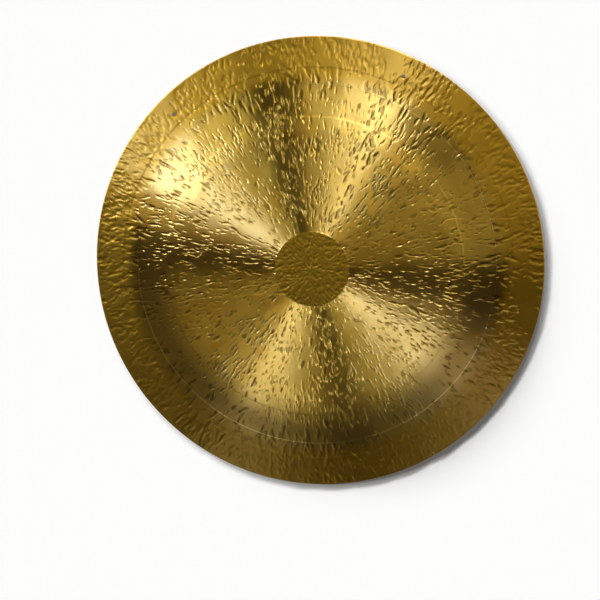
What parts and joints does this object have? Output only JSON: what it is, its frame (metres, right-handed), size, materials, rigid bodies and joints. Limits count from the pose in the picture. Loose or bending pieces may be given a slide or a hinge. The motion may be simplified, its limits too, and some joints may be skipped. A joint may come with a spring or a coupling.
{
  "type": "feng gong",
  "caption": "Round flat wind gong of hammered, lathed bronze: plain striking disc, flat lathed field, bend down to a falling rim flange with cord holes.",
  "frame": {"origin": "on the gong's axis, in the plane that its rim stands on when it lies face up", "axes": "+Z along the gong's axis, out of the played face; +Y towards the side that hangs uppermost, midway between the two cord holes"},
  "size_m": [0.6, 0.6, 0.0208],
  "materials": {
    "bronze": "hammered and lathed bronze, satin in rings, with a browner unlathed rim and striking disc"
  },
  "bodies": {
    "root": {"gong_plate": "bronze"}
  },
  "joints": []
}
